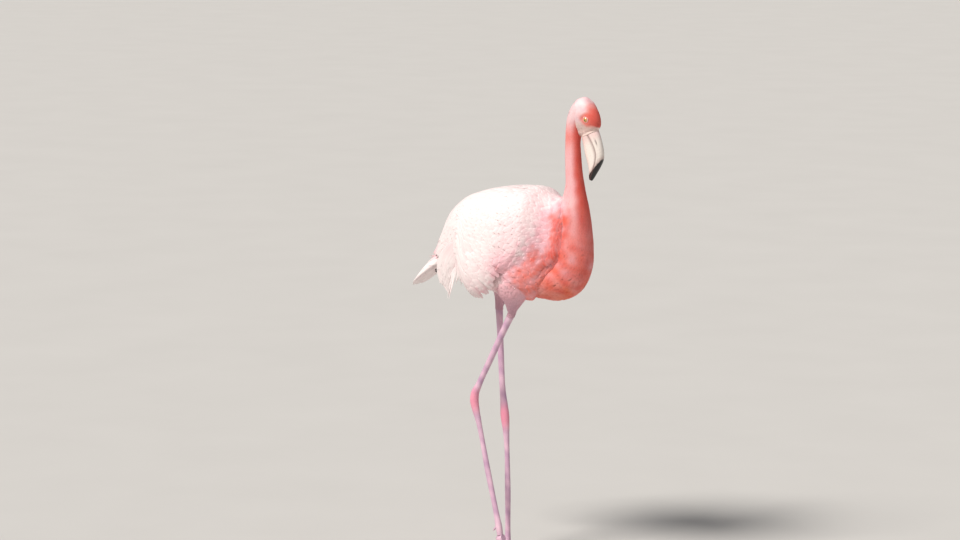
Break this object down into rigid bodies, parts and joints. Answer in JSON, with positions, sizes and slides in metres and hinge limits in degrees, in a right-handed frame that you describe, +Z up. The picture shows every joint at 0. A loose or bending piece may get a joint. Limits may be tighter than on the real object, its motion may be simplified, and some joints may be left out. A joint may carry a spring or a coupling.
{
  "type": "American flamingo, still life-size model",
  "caption": "Life-size adult American flamingo in mid-step, with a pale back, a coral breast, neck and head, a white bill with a black tip, and long webbed legs.",
  "frame": {"origin": "on the floor, under the centre of the bounding box", "axes": "+X the way the bird faces, +Y its left side, +Z up"},
  "size_m": [0.5174, 0.223, 1.0973],
  "materials": {
    "pale_plumage": "matte",
    "coral_plumage": "matte",
    "black_plumage": "matte",
    "bill": "satin",
    "leg_skin": "satin",
    "eye": "gloss",
    "claw": "satin"
  },
  "bodies": {
    "root": {"head": "coral_plumage", "neck_base": "coral_plumage", "neck_lower": "coral_plumage", "neck_middle": "coral_plumage", "neck_upper": "coral_plumage", "trunk": "pale_plumage", "tail": "pale_plumage", "wing_left": "pale_plumage", "wing_right": "pale_plumage", "tertials_left": "pale_plumage", "tertials_right": "pale_plumage", "thigh_left": "pale_plumage", "thigh_right": "pale_plumage", "flight_feathers_left": "black_plumage", "flight_feathers_right": "black_plumage", "bill_upper": "bill", "bill_lower": "bill", "eye_left": "eye", "eye_right": "eye", "shin_left": "leg_skin", "shin_right": "leg_skin", "tarsus_left": "leg_skin", "tarsus_right": "leg_skin", "foot_left": "leg_skin", "foot_right": "leg_skin", "hind_toe_left": "leg_skin", "hind_toe_right": "leg_skin", "claw_inner_left": "claw", "claw_inner_right": "claw", "claw_middle_left": "claw", "claw_middle_right": "claw", "claw_outer_left": "claw", "claw_outer_right": "claw"}
  },
  "joints": []
}
